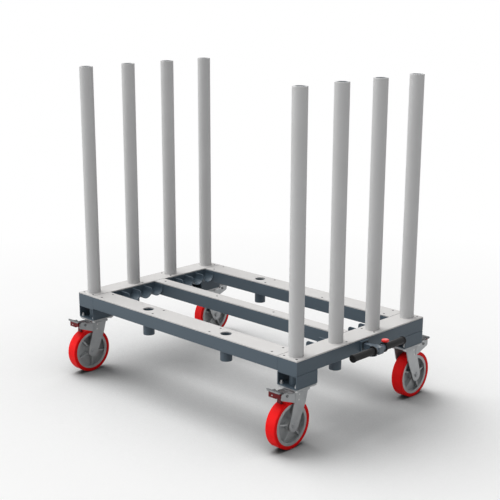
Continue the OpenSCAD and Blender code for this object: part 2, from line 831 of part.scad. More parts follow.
// Two grips with their collars; the rear collar carries the button boss
module handle_grips() {
    color("dimgray") difference() {
        union() {
            for (s = SIDES) translate([handle_x, s * handle_hub_w / 2, drawbar_z])
                rotate([-s * 90, 0, 0]) rotate_extrude() grip_outline();
            translate([handle_x, button_y, drawbar_z + handle_bar_d / 2 + slide_play])
                cylinder(h = boss_top - drawbar_z - handle_bar_d / 2 - slide_play, r = boss_r);
        }
        translate([handle_x, button_y, boss_top - stem_in - button_travel])
            cylinder(h = stem_in + button_travel + cut, r = stem_r + pin_play);
    }
}

// Red mushroom button on a round stem
module release_button() {
    color("red") translate([handle_x, button_y, 0]) {
        translate([0, 0, boss_top - stem_in + button_gap])
            cylinder(h = stem_in - button_gap + button_under - boss_top, r = stem_r);
        translate([0, 0, button_under]) rotate_extrude() {
            square([button_d / 2, button_h - button_edge_r]);
            square([button_d / 2 - button_edge_r, button_h]);
            intersection() {
                translate([button_d / 2 - button_edge_r, button_h - button_edge_r])
                    circle(button_edge_r);
                square([button_d, button_h]);
            }
        }
    }
}

// Named places of the four casters
module fork_at(sx, sy) { color("silver") at_caster(sx, sy) fork_body(); }
module axle_at(sx, sy) { color("gainsboro") at_caster(sx, sy) axle_body(); }
module core_at(sx, sy) {
    color("silver") at_caster(sx, sy)
        wheel_core_body(rib_phase + (sx + sy < 0 ? rib_turn : 0));
}
module tread_at(sx, sy) { color("crimson") at_caster(sx, sy) tread_body(); }
module pedal_at(sx, sy) { color("silver") at_caster(sx, sy) brake_pedal_body(); }
module block_at(sx, sy) { color("darkred") at_caster(sx, sy) pedal_block_body(); }

end_beam_left();
end_beam_right();
side_beams();
centre_beam();
corner_tubes();
post_sockets();
end_plates();
side_plates();
centre_plate();
drawbar_guide();
cradle_at(-1, -1);  // cradle_left_front
cradle_at(-1, 1);  // cradle_left_rear
cradle_at(1, -1);  // cradle_right_front
cradle_at(1, 1);  // cradle_right_rear
caster_plates();
caster_bolts();
post_core(1);  // post_core_1
post_core(2);  // post_core_2
post_core(3);  // post_core_3
post_core(4);  // post_core_4
post_core(5);  // post_core_5
post_core(6);  // post_core_6
post_core(7);  // post_core_7
post_core(8);  // post_core_8
post_sleeve(1);  // post_sleeve_1
post_sleeve(2);  // post_sleeve_2
post_sleeve(3);  // post_sleeve_3
post_sleeve(4);  // post_sleeve_4
post_sleeve(5);  // post_sleeve_5
post_sleeve(6);  // post_sleeve_6
post_sleeve(7);  // post_sleeve_7
post_sleeve(8);  // post_sleeve_8
fork_at(-1, -1);  // fork_front_left
fork_at(1, -1);  // fork_front_right
fork_at(-1, 1);  // fork_rear_left
fork_at(1, 1);  // fork_rear_right
axle_at(-1, -1);  // axle_front_left
axle_at(1, -1);  // axle_front_right
axle_at(-1, 1);  // axle_rear_left
axle_at(1, 1);  // axle_rear_right
core_at(-1, -1);  // wheel_core_front_left
core_at(1, -1);  // wheel_core_front_right
core_at(-1, 1);  // wheel_core_rear_left
core_at(1, 1);  // wheel_core_rear_right
tread_at(-1, -1);  // tread_front_left
tread_at(1, -1);  // tread_front_right
tread_at(-1, 1);  // tread_rear_left
tread_at(1, 1);  // tread_rear_right
pedal_at(-1, -1);  // brake_pedal_front_left
pedal_at(1, -1);  // brake_pedal_front_right
pedal_at(-1, 1);  // brake_pedal_rear_left
pedal_at(1, 1);  // brake_pedal_rear_right
block_at(-1, -1);  // pedal_block_front_left
block_at(1, -1);  // pedal_block_front_right
block_at(-1, 1);  // pedal_block_rear_left
block_at(1, 1);  // pedal_block_rear_right
drawbar();
handle_hub();
handle_grips();
release_button();
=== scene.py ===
# %% [markdown]
# # A cart for sheet goods
# The real cart is a low welded frame on four braked casters, with two rows
# of upright posts and a draw handle. Its rigid pieces come ready made, as a
# fixed frame. This lesson gives them their finishes, adds the small pieces
# that are too fine for the frame, and lights and frames the picture.
#
# We start by loading the frame and noting how much room it takes, because
# nothing that we add may make the cart bigger. Blender counts in metres, and
# MM turns a number of millimetres into them.

# %% Load the frame
import math
import bmesh
import bpy
from mathutils import Matrix, Vector


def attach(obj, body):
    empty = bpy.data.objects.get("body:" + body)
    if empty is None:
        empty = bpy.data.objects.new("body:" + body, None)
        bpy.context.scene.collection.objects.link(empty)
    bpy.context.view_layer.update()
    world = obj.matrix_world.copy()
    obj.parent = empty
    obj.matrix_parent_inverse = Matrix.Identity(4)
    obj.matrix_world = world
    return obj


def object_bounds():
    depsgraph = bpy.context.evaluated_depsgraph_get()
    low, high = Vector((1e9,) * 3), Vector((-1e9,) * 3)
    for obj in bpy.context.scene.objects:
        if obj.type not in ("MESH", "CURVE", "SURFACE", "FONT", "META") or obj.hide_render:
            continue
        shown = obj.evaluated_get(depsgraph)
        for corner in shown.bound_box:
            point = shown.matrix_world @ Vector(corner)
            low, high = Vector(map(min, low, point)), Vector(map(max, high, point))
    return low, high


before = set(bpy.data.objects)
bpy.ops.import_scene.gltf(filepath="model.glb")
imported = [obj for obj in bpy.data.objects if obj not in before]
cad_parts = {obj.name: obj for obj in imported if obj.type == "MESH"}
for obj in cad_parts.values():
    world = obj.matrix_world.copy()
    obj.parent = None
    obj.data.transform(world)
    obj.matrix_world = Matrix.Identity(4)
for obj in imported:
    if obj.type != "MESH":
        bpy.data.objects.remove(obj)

MM = 0.001
scene = bpy.context.scene
cad_box = [list(corner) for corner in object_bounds()]

# %% [markdown]
# ## The camera
# The picture was taken from the front right corner, a little above the
# deck. A long lens keeps the posts nearly parallel. The direction is written
# as two angles, the turn round the cart and the height above the floor, and
# the small lens shift puts the cart where it stands in the picture.

# %% Camera
CAMERA_TURN = math.radians(44.955)
CAMERA_RISE = math.radians(15.911)
CAMERA_PLACE = (3.2610, -3.31207, 1.39276)
CAMERA_SHIFT = (0.0256, 0.0780)
FOCAL_PIXELS = 1100.534
PICTURE_PIXELS = 500
SENSOR = 36.0
FARTHEST_SEEN = 200

camera_data = bpy.data.cameras.new("picture_camera")
camera = bpy.data.objects.new("picture_camera", camera_data)
scene.collection.objects.link(camera)
camera.location = CAMERA_PLACE
camera.rotation_euler = (math.pi / 2 - CAMERA_RISE, 0, CAMERA_TURN)
camera_data.sensor_width = SENSOR
camera_data.lens = FOCAL_PIXELS / PICTURE_PIXELS * SENSOR
camera_data.shift_x, camera_data.shift_y = CAMERA_SHIFT
camera_data.clip_end = FARTHEST_SEEN
bpy.context.scene.camera = camera
print("lens", round(camera_data.lens, 2), "mm")

# %% [markdown]
# ## Light
# The picture has the even light of a studio, with soft shadows. The room
# itself is dim, so that the lamps shape the cart, but the background and the
# reflections show it white. The Light Path node tells the two kinds of ray
# apart, and a Mix Shader picks one of two backgrounds by it.

# %% The room
ROOM_TONE, ROOM_LEVEL = (0.97, 0.98, 1.0, 1), 0.1
SEEN_TONE, SEEN_LEVEL = (1, 1, 1, 1), 1.0

scene.view_settings.view_transform = "Standard"
world = bpy.data.worlds.new("studio")
scene.world = world
world.use_nodes = True
room_tree = world.node_tree
room_tree.nodes.clear()


def seen_directly(tree):
    """1 for rays from the camera and in reflections, 0 for light thrown on."""
    rays = tree.nodes.new("ShaderNodeLightPath")
    total = rays.outputs["Is Camera Ray"]
    for label in ("Is Glossy Ray", "Is Transmission Ray"):
        larger = tree.nodes.new("ShaderNodeMath")
        larger.operation = "MAXIMUM"
        tree.links.new(total, larger.inputs[0])
        tree.links.new(rays.outputs[label], larger.inputs[1])
        total = larger.outputs[0]
    return total


def room_light(tone, level):
    """The output of a background of one tone and level."""
    light = room_tree.nodes.new("ShaderNodeBackground")
    light.inputs["Color"].default_value = tone
    light.inputs["Strength"].default_value = level
    return light.outputs[0]


room_out = room_tree.nodes.new("ShaderNodeOutputWorld")
pick = room_tree.nodes.new("ShaderNodeMixShader")
room_tree.links.new(seen_directly(room_tree), pick.inputs["Fac"])
room_tree.links.new(room_light(ROOM_TONE, ROOM_LEVEL), pick.inputs[1])
room_tree.links.new(room_light(SEEN_TONE, SEEN_LEVEL), pick.inputs[2])
room_tree.links.new(pick.outputs[0], room_out.inputs["Surface"])
print("room level:", ROOM_LEVEL, "seen as:", SEEN_LEVEL)

# %% [markdown]
# The shadows fall to the right, so the main light stands at the left end of
# the cart. Low lights behind it put a pale rim on the edges of the round
# posts, one straight above lights the deck, and weaker ones in front and at
# the right keep the nearer faces readable. A sun lamp with a wide angle works
# like a large soft panel far away, and it lights the cart the same wherever
# the panel would stand, so six of them do the whole job.

# %% Lamps
PANEL_ANGLE = math.radians(45)
# name, turn round the cart from the right-hand end, height angle, strength
PANELS = (("key_lamp", 183, 56, 1.85),
          ("left_rim_lamp", 225, 15, 1.3),
          ("top_lamp", 0, 90, 1.1),
          ("front_lamp", 290, 42, 0.55),
          ("right_lamp", 8, 42, 0.20),
          ("back_rim_lamp", 125, 15, 0.22))
for name, turn, rise, strength in PANELS:
    data = bpy.data.lights.new(name, "SUN")
    data.energy = strength
    data.angle = PANEL_ANGLE
    lamp = bpy.data.objects.new(name, data)
    scene.collection.objects.link(lamp)
    turn, rise = math.radians(turn), math.radians(rise)
    towards = Vector((math.cos(turn) * math.cos(rise),
                      math.sin(turn) * math.cos(rise), math.sin(rise)))
    lamp.rotation_euler = towards.to_track_quat("Z", "Y").to_euler()
print("lamps:", [name for name, *_ in PANELS])

# %% [markdown]
# ## Working by hand, in code
# Each new piece is modelled as one would at the desk: add a primitive, go
# into edit mode, select some faces, and extrude, inset or bevel them. These
# helpers do the parts that a mouse would do: deselect everything, open one
# object, and select faces or edges by their place or direction. In edit mode
# a place is counted from the object's own origin.

# %% Helpers for modelling
NEAR = 0.01 * MM    # places closer than this count as one
FACING = 0.9        # a face whose normal has this much of an axis faces along it


def clear_selection():
    """Leaves nothing selected, in object mode."""
    if bpy.context.object and bpy.context.object.mode != "OBJECT":
        bpy.ops.object.mode_set(mode="OBJECT")
    bpy.ops.object.select_all(action="DESELECT")


def edit(obj):
    """Opens edit mode on obj alone, with faces to select and none selected."""
    clear_selection()
    bpy.context.view_layer.objects.active = obj
    obj.select_set(True)
    bpy.ops.object.mode_set(mode="EDIT")
    bpy.ops.mesh.select_mode(type="FACE")
    bpy.ops.mesh.select_all(action="DESELECT")


def select_faces(test):
    """Selects the faces whose middle and normal pass the test."""
    mesh = bmesh.from_edit_mesh(bpy.context.object.data)
    for face in mesh.faces:
        face.select_set(bool(test(face.calc_center_median(), face.normal)))
    bmesh.update_edit_mesh(bpy.context.object.data)


def select_edges(test):
    """Selects the edges whose two ends pass the test."""
    bpy.ops.mesh.select_mode(type="EDGE")
    mesh = bmesh.from_edit_mesh(bpy.context.object.data)
    for edge in mesh.edges:
        a, b = (corner.co for corner in edge.verts)
        edge.select_set(bool(test(a, b)))
    bmesh.update_edit_mesh(bpy.context.object.data)


print("helpers for modelling ready")

# %% [markdown]
# A modelled piece is then settled, so that its object sits at the origin with
# its place in its mesh. What repeats is modelled once and copied, and each
# copy has a mesh of its own. Every finished piece gets a material and the body
# that it rides on.

# %% Helpers for finished pieces
def settle(obj, smooth_angle=35):
    """Back to object mode, place written into the mesh, smooth up to an angle."""
    clear_selection()
    bpy.context.view_layer.objects.active = obj
    obj.select_set(True)
    bpy.ops.object.transform_apply(location=True, rotation=True, scale=True)
    bpy.ops.object.shade_smooth_by_angle(angle=math.radians(smooth_angle))
    obj.select_set(False)


def copy_at(obj, matrix):
    """A copy of obj with a mesh of its own, moved or mirrored by the matrix."""
    other = obj.copy()
    other.data = obj.data.copy()
    scene.collection.objects.link(other)
    other.data.transform(matrix)
    if matrix.determinant() < 0:
        other.data.flip_normals()
    return other


def call_it(obj, name):
    """Gives an object and its mesh the same name."""
    obj.name = name
    obj.data.name = name


def join(pieces):
    """Joins two or more pieces into the first of them."""
    clear_selection()
    for piece in pieces:
        piece.select_set(True)
    bpy.context.view_layer.objects.active = pieces[0]
    bpy.ops.object.join()
    return pieces[0]


def copies_as_one(obj, name, places):
    """Joins one copy of obj for each matrix into one piece, and drops obj."""
    joined = join([copy_at(obj, matrix) for matrix in places])
    bpy.data.objects.remove(obj, do_unlink=True)
    call_it(joined, name)
    return joined


def finish_piece(obj, body, material):
    """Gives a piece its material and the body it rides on."""
    obj.data.materials.clear()
    obj.data.materials.append(material)
    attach(obj, body)


print("helpers for finished pieces ready")

# %% [markdown]
# ## Effects that several finishes share
# Paint, plastic and cast metal all have a fine surface that no camera
# resolves but every highlight shows. One node group makes that grain from
# noise, another makes the slow drift of tone over a large face, and a third
# makes faint rubbed marks. They put out masks and heights only, and each
# material decides what to do with them. A few helpers come first, because a
# node tree in code is mostly the same three steps: add a node, set its
# values, link it.

# %% Helpers for node trees
def new_group(name, inputs, outputs):
    """A shader node group with float inputs (name, value) and float outputs."""
    tree = bpy.data.node_groups.new(name, "ShaderNodeTree")
    for label, value in inputs:
        socket = tree.interface.new_socket(
            label, in_out="INPUT", socket_type="NodeSocketFloat")
        socket.default_value = value
    for label in outputs:
        tree.interface.new_socket(
            label, in_out="OUTPUT", socket_type="NodeSocketFloat")
    ends = tree.nodes.new("NodeGroupInput"), tree.nodes.new("NodeGroupOutput")
    return tree, *ends


def object_place(tree):
    """Each surface point's place on its object, which moves along with it."""
    return tree.nodes.new("ShaderNodeTexCoord").outputs["Object"]


def add_noise(tree, place, scale, detail, roughness):
    """A noise texture whose place and scale come from sockets."""
    noise = tree.nodes.new("ShaderNodeTexNoise")
    noise.inputs["Detail"].default_value = detail
    noise.inputs["Roughness"].default_value = roughness
    tree.links.new(place, noise.inputs["Vector"])
    tree.links.new(scale, noise.inputs["Scale"])
    return noise.outputs["Fac"]


def add_range(tree, value, source, target):
    """Stretches value from the source range to the target, held at the ends."""
    node = tree.nodes.new("ShaderNodeMapRange")
    for label, number in zip(("From Min", "From Max", "To Min", "To Max"),
                             (*source, *target)):
        node.inputs[label].default_value = number
    tree.links.new(value, node.inputs["Value"])
    return node.outputs["Result"]


def add_math(tree, operation, a, b):
    """A math node on two sockets or numbers."""
    node = tree.nodes.new("ShaderNodeMath")
    node.operation = operation
    for socket, value in zip(node.inputs, (a, b)):
        if isinstance(value, (int, float)):
            socket.default_value = value
        else:
            tree.links.new(value, socket)
    return node.outputs[0]


def mix_tones(tree, factor, first, second):
    """A mix of two tones, each a socket or a colour, by a factor."""
    node = tree.nodes.new("ShaderNodeMix")
    node.data_type = "RGBA"
    tree.links.new(factor, node.inputs["Factor"])
    for label, tone in (("A", first), ("B", second)):
        if isinstance(tone, tuple):
            node.inputs[label].default_value = (*tone, 1)
        else:
            tree.links.new(tone, node.inputs[label])
    return node.outputs["Result"]


print("helpers for node trees ready")

# %% Node groups for grain and drift
grain_group, grain_in, grain_out = new_group(
    "surface_grain", [("Scale", 900.0), ("Patch scale", 60.0)],
    ["Height", "Roughness shift"])
grain_place = object_place(grain_group)
fine = add_noise(grain_group, grain_place, grain_in.outputs["Scale"],
                 detail=2.0, roughness=0.5)
patches = add_noise(grain_group, grain_place, grain_in.outputs["Patch scale"],
                    detail=3.0, roughness=0.55)
shift = add_range(grain_group, patches, (0.3, 0.7), (-1.0, 1.0))
grain_group.links.new(fine, grain_out.inputs["Height"])
grain_group.links.new(shift, grain_out.inputs["Roughness shift"])

drift_group, drift_in, drift_out = new_group(
    "tone_drift", [("Scale", 3.0)], ["Drift"])
slow = add_noise(drift_group, object_place(drift_group), drift_in.outputs["Scale"],
                 detail=2.0, roughness=0.4)
drifting = add_range(drift_group, slow, (0.25, 0.75), (0.0, 1.0))
drift_group.links.new(drifting, drift_out.inputs["Drift"])
print("groups:", [group.name for group in bpy.data.node_groups])

# %% [markdown]
# The rubbed marks are the crests of a broad noise, squeezed along z. Only
# what rises over an edge counts, and a larger share lowers that edge.

# %% Node group for rubbed marks
MARK_SQUEEZE = (1.0, 1.0, 3.0)
MARK_EDGE, MARK_FADE = 0.75, 0.08

scuff_group, scuff_in, scuff_out = new_group(
    "rubbed_marks", [("Scale", 45.0), ("Share", 0.1)], ["Mask"])
squeeze = scuff_group.nodes.new("ShaderNodeMapping")
squeeze.inputs["Scale"].default_value = MARK_SQUEEZE
scuff_group.links.new(object_place(scuff_group), squeeze.inputs["Vector"])
broad = add_noise(scuff_group, squeeze.outputs[0], scuff_in.outputs["Scale"],
                  detail=5.0, roughness=0.65)
edge = add_math(scuff_group, "SUBTRACT", MARK_EDGE, scuff_in.outputs["Share"])
over = add_math(scuff_group, "SUBTRACT", broad, edge)
marked = add_range(scuff_group, over, (0.0, MARK_FADE), (0.0, 1.0))
scuff_group.links.new(marked, scuff_out.inputs["Mask"])
print("groups:", [group.name for group in bpy.data.node_groups])

# %% [markdown]
# ## The finishes
# A finish is a Principled shader with three things laid over it: two close
# tones that drift into each other, a roughness that varies a little with the
# grain, and a very shallow bump. The same recipe, with other numbers, makes
# powder coat, plastic, zinc plate, cast aluminium and the cast tread. What
# differs is how rough, how metallic and how grainy each one is.

# %% Recipe for a finish
MARK_STRENGTH, MARK_ROUGHENS = 0.35, 0.15


def add_group(tree, group, **values):
    """The outputs of a node group put into a tree, with values for its inputs."""
    node = tree.nodes.new("ShaderNodeGroup")
    node.node_tree = group
    for label, value in values.items():
        node.inputs[label.replace("_", " ").capitalize()].default_value = value
    return node.outputs


def make_finish(name, tone, other_tone, roughness, rough_swing=0.04, metallic=0.0,
                specular=0.5, grain=900.0, patch=60.0, bump=0.02 * MM, drift=3.0,
                scuffs=0.0, scuff_tone=None):
    """A material with drifting tones, varied roughness, grain and faint scuffs."""
    material = bpy.data.materials.new(name)
    material.use_nodes = True
    material.diffuse_color = (*tone, 1)
    tree = material.node_tree
    shader = tree.nodes["Principled BSDF"]
    shader.inputs["Metallic"].default_value = metallic
    shader.inputs["Specular IOR Level"].default_value = specular

    drifted = add_group(tree, drift_group, scale=drift)["Drift"]
    colour = mix_tones(tree, drifted, tone, other_tone)

    surface = add_group(tree, grain_group, scale=grain, patch_scale=patch)
    swing = add_math(tree, "MULTIPLY", surface["Roughness shift"], rough_swing)
    rough = add_math(tree, "ADD", swing, roughness)

    if scuffs:
        marks = add_group(tree, scuff_group, share=scuffs)["Mask"]
        faint = add_math(tree, "MULTIPLY", marks, MARK_STRENGTH)
        colour = mix_tones(tree, faint, colour, scuff_tone)
        rougher = add_math(tree, "MULTIPLY", faint, MARK_ROUGHENS)
        rough = add_math(tree, "ADD", rough, rougher)

    relief = tree.nodes.new("ShaderNodeBump")
    relief.inputs["Distance"].default_value = bump
    tree.links.new(surface["Height"], relief.inputs["Height"])
    tree.links.new(colour, shader.inputs["Base Color"])
    tree.links.new(rough, shader.inputs["Roughness"])
    tree.links.new(relief.outputs["Normal"], shader.inputs["Normal"])
    return material


print("recipe ready")

# %% [markdown]
# The frame is powder coated in a dark blue grey, with the soft orange-peel
# skin that baked powder has. The draw handle has the same blue grey in a
# smoother, glossier coat. The deck plates are pale boards with a matt face,
# and the post sleeves a matt light grey plastic. The grips are nearly black,
# the button and the tread a clear red, and the blocks of the brakes a dark red,
# which is painted shade from the pedals above them.

# %% Paints
frame_paint = make_finish(
    "frame_paint", tone=(0.070, 0.098, 0.124), other_tone=(0.063, 0.090, 0.115),
    roughness=0.45, specular=0.35, grain=520, patch=90, bump=0.04 * MM,
    scuffs=0.03, scuff_tone=(0.2, 0.22, 0.24))
bar_paint = make_finish(
    "bar_paint", tone=(0.085, 0.115, 0.145), other_tone=(0.078, 0.106, 0.135),
    roughness=0.2, specular=0.6, grain=520, patch=90)
print("paints made")

# %% Boards and plastics
deck_board = make_finish(
    "deck_board", tone=(0.56, 0.55, 0.54), other_tone=(0.53, 0.52, 0.51),
    roughness=0.6, specular=0.3, grain=1500, patch=25, drift=6,
    scuffs=0.06, scuff_tone=(0.55, 0.54, 0.52))
sleeve_plastic = make_finish(
    "sleeve_plastic", tone=(0.56, 0.56, 0.56), other_tone=(0.53, 0.53, 0.53),
    roughness=0.5, specular=0.3, grain=1100, patch=70, drift=4)
grip_plastic = make_finish(
    "grip_plastic", tone=(0.010, 0.010, 0.011), other_tone=(0.016, 0.016, 0.017),
    roughness=0.4, rough_swing=0.08, specular=0.16, grain=1800, patch=150,
    bump=0.06 * MM)
button_plastic = make_finish(
    "button_plastic", tone=(0.78, 0.02, 0.015), other_tone=(0.70, 0.018, 0.012),
    roughness=0.25, specular=0.3, grain=700, bump=0.008 * MM)
# the dark red of the block is painted shade from the pedal above
painted_shade_block_plastic = make_finish(
    "painted_shade_block_plastic", tone=(0.15, 0.002, 0.005), other_tone=(0.12, 0.002, 0.004),
    roughness=0.4, specular=0.2)
tread_polyurethane = make_finish(
    "tread_polyurethane", tone=(0.88, 0.007, 0.008),
    other_tone=(0.80, 0.006, 0.007), roughness=0.5, rough_swing=0.06,
    specular=0.08, grain=350, patch=45, bump=0.03 * MM, drift=14)
print("boards and plastics made")

# %% [markdown]
# The tread was turned in a mould, which leaves fine rings round it. A wave
# along the axle's direction gives them their height, on top of the grain.
# And a saturated red this close to a white floor would throw a pink patch on
# it, which the picture doesn't have. So light that has bounced once already
# finds a dark tread, by the material's Light Path, while the eye finds a red.

# %% Rings of the tread
RING_SCALE, RING_DEPTH = 70.0, 0.12 * MM
RING_DISTORTION, RING_DETAIL = 0.4, 1.0
# at a scale of 1 a wave texture has ten rings in pi metres
RING_PITCH = math.pi / 10 / RING_SCALE

tread_tree = tread_polyurethane.node_tree
tread_shader = tread_tree.nodes["Principled BSDF"]
rings = tread_tree.nodes.new("ShaderNodeTexWave")
rings.wave_type = "BANDS"
rings.bands_direction = "X"
rings.inputs["Scale"].default_value = RING_SCALE
rings.inputs["Distortion"].default_value = RING_DISTORTION
rings.inputs["Detail"].default_value = RING_DETAIL
tread_tree.links.new(object_place(tread_tree), rings.inputs["Vector"])
ring_relief = tread_tree.nodes.new("ShaderNodeBump")
ring_relief.inputs["Distance"].default_value = RING_DEPTH
tread_tree.links.new(rings.outputs["Fac"], ring_relief.inputs["Height"])
grain_relief = tread_shader.inputs["Normal"].links[0].from_node
tread_tree.links.new(ring_relief.outputs["Normal"], grain_relief.inputs["Normal"])
print("a ring every", round(RING_PITCH / MM, 1), "mm")

# %% What the tread throws on the floor
THROWN_TONE = (0.10, 0.07, 0.07)
tread_red = tread_shader.inputs["Base Color"].links[0].from_socket
bounced = tread_tree.nodes.new("ShaderNodeLightPath").outputs["Is Diffuse Ray"]
tread_tree.links.new(mix_tones(tread_tree, bounced, tread_red, THROWN_TONE),
                     tread_shader.inputs["Base Color"])
print("tone of the tread for thrown light:", THROWN_TONE)

# %% [markdown]
# The casters are zinc plated pressings round a cast aluminium wheel core.
# Zinc plate is metallic but dull, with a faint patchy bloom. The casting is
# rougher, with a coarse grain from the mould. The pedals have a darker zinc,
# which is painted shade from the corner tubes above them, and the screws of
# the deck are dark steel.

# %% Metals
caster_zinc = make_finish(
    "caster_zinc", tone=(0.41, 0.42, 0.425), other_tone=(0.34, 0.35, 0.36),
    roughness=0.42, rough_swing=0.1, metallic=0.7, grain=800, patch=120,
    bump=0.03 * MM, drift=25)
bolt_zinc = make_finish(
    "bolt_zinc", tone=(0.66, 0.66, 0.66), other_tone=(0.56, 0.56, 0.56),
    roughness=0.35, rough_swing=0.08, metallic=0.8, patch=200, drift=60)
cast_aluminium = make_finish(
    "cast_aluminium", tone=(0.42, 0.43, 0.435), other_tone=(0.34, 0.35, 0.355),
    roughness=0.5, rough_swing=0.1, metallic=0.6, grain=600, bump=0.08 * MM,
    drift=20)
dark_steel = make_finish(
    "dark_steel", tone=(0.05, 0.05, 0.055), other_tone=(0.035, 0.035, 0.04),
    roughness=0.4, metallic=0.8, patch=200, drift=60)
# darker than the caster zinc: painted shade from the corner tube above the pedal
painted_shade_pedal_zinc = make_finish(
    "painted_shade_pedal_zinc", tone=(0.17, 0.175, 0.18), other_tone=(0.12, 0.125, 0.13),
    roughness=0.6, rough_swing=0.1, metallic=0.5, grain=800, patch=150,
    bump=0.03 * MM, drift=60)
print("metals made")

# %% [markdown]
# The nodes of the frame keep their shapes, so a finish reaches them through
# the material slots that they already have. Their names could be written out
# one by one, but the first letters are enough. The first finish that fits a
# name is kept, so the guide of the drawbar is painted like the frame, and
# only the bar itself like the handle.

# %% Finish on every node of the frame
NODE_FINISHES = {
    frame_paint: ["end_beam", "side_beams", "centre_beam", "corner_tubes",
                  "post_sockets", "cradle", "drawbar_guide", "post_core"],
    bar_paint: ["handle_hub", "drawbar"],
    deck_board: ["end_plates", "side_plates", "centre_plate"],
    sleeve_plastic: ["post_sleeve"],
    caster_zinc: ["caster_plates", "fork", "axle"],
    # the pedal's darker zinc is painted shade
    painted_shade_pedal_zinc: ["brake_pedal"],
    bolt_zinc: ["caster_bolts"],
    cast_aluminium: ["wheel_core"],
    tread_polyurethane: ["tread"],
    # the block's dark red is painted shade
    painted_shade_block_plastic: ["pedal_block"],
    grip_plastic: ["handle_grips"],
    button_plastic: ["release_button"],
}
finished = set()
for material, starts in NODE_FINISHES.items():
    for node_name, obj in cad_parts.items():
        if node_name in finished or not node_name.startswith(tuple(starts)):
            continue
        for material_slot in obj.material_slots:
            material_slot.material = material
        finished.add(node_name)
print("nodes without a finish:", sorted(set(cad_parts) - finished))

# %% [markdown]
# ## The mouths of the posts
# The steel core of a post reaches nearly to the top of its sleeve, and its
# painted end makes the dark ring that one sees in the open top. The frame's
# core ends a little lower, so a short tube continues it. A cylinder has two
# closed ends: both are inset by the wall, and bridging the inner faces opens
# the tube.

# %% Tube end and its eight places
POST_TOP, CORE_TOP = 1014.2 * MM, 1005 * MM
CORE_R, CORE_WALL = 21.15 * MM, 2.6 * MM
POST_X, POST_ROWS = 620 * MM, (-350 * MM, -116 * MM, 116 * MM, 350 * MM)
POSTS = [(side * POST_X, y) for side in (-1, 1) for y in POST_ROWS]

clear_selection()
bpy.ops.mesh.primitive_cylinder_add(vertices=48, radius=CORE_R,
                                    depth=POST_TOP - CORE_TOP,
                                    location=(0, 0, (POST_TOP + CORE_TOP) / 2))
mouth = bpy.context.object
edit(mouth)
select_faces(lambda c, n: abs(n.z) > FACING)
bpy.ops.mesh.inset(thickness=CORE_WALL, use_individual=True)
bpy.ops.mesh.bridge_edge_loops()
settle(mouth)
for number, (x, y) in enumerate(POSTS, 1):
    placed = copy_at(mouth, Matrix.Translation((x, y, 0)))
    call_it(placed, "post_mouth_" + str(number))
    finish_piece(placed, "post_" + str(number), frame_paint)
bpy.data.objects.remove(mouth, do_unlink=True)
print("post mouths:", len(POSTS))

# %% [markdown]
# ## Deck screws
# The deck boards are held by countersunk screws in two rows along the side
# and centre boards and in pairs on the end boards. A screw could be a flat
# disc, but then it would not catch the light. So one head is a low cylinder
# whose top is inset: the first inset is raised a little and makes the sloping
# rim, and the last one goes down as the round socket for the key. Thirty-six
# copies follow.

# %% One screw head
SCREW_R, SCREW_H = 4.6 * MM, 0.5 * MM
SCREW_RIM, SCREW_RISE = 0.5 * MM, 0.15 * MM
SOCKET_INSET, SOCKET_SLOPE, SOCKET_DEPTH = 1.9 * MM, 0.15 * MM, 0.45 * MM

clear_selection()
bpy.ops.mesh.primitive_cylinder_add(vertices=24, radius=SCREW_R, depth=SCREW_H,
                                    location=(0, 0, SCREW_H / 2))
screw = bpy.context.object
edit(screw)
select_faces(lambda c, n: n.z > FACING)
bpy.ops.mesh.inset(thickness=SCREW_RIM)
bpy.ops.transform.translate(value=(0, 0, SCREW_RISE))
bpy.ops.mesh.inset(thickness=SOCKET_INSET)
bpy.ops.mesh.inset(thickness=SOCKET_SLOPE)
bpy.ops.transform.translate(value=(0, 0, -SOCKET_DEPTH))
settle(screw)
print("faces of one screw head:", len(screw.data.polygons))

# %% Screws in their places
# x and y in millimetres, for one quarter of the deck
SCREW_ROWS = {
    "side boards": [(x, y) for x in (176, 524) for y in (318, 382)],
    "centre board": [(175, 0), (524, 0)],
    "end boards": [(x, y) for x in (588, 652) for y in (88, 382)],
}
screw_places = sorted({(sx * x * MM, sy * y * MM) for row in SCREW_ROWS.values()
                       for x, y in row for sx in (-1, 1) for sy in (-1, 1)})
deck_screws = copies_as_one(screw, "deck_screws", [
    Matrix.Translation((x, y, 0)) for x, y in screw_places])
finish_piece(deck_screws, "frame", dark_steel)
print("screws:", len(screw_places))

# %% [markdown]
# ## Joints of the boards
# Where a side or centre board meets an end board, the narrow gap lies in
# shade, and a dark strip in it paints that shade as a dark line. It is a thin
# strip: a plane cut across into short lengths, its points moved a little aside
# so that the line isn't ruler straight, and thickened with a Solidify modifier.

# %% One line of painted shade
LINE_W, LINE_T, LINE_CUTS = 1.5 * MM, 0.3 * MM, 23
WANDER, WANDER_WAVES, WANDER_START = 0.12 * MM, (900, 2300), 1


def joint_line(y, length):
    """A thin wandering strip along y, with its middle at y."""
    clear_selection()
    bpy.ops.mesh.primitive_plane_add(size=1, location=(0, y, 0))
    line = bpy.context.object
    line.scale = (LINE_W, length, 1)
    bpy.ops.object.transform_apply(location=True, rotation=False, scale=True)
    edit(line)
    select_edges(lambda a, b: abs(a.x - b.x) < NEAR)
    bpy.ops.mesh.subdivide(number_cuts=LINE_CUTS)
    clear_selection()
    for point in line.data.vertices:
        slow_wave = math.sin(point.co.y * WANDER_WAVES[0])
        quick_wave = math.sin(point.co.y * WANDER_WAVES[1] + WANDER_START)
        point.co.x += WANDER * slow_wave * quick_wave
    line.select_set(True)
    bpy.context.view_layer.objects.active = line
    thick = line.modifiers.new("thick", "SOLIDIFY")
    thick.thickness = LINE_T
    thick.offset = 1
    bpy.ops.object.modifier_apply(modifier=thick.name)
    settle(line)
    return line


print("width of a joint line:", round(LINE_W / MM, 1), "mm")

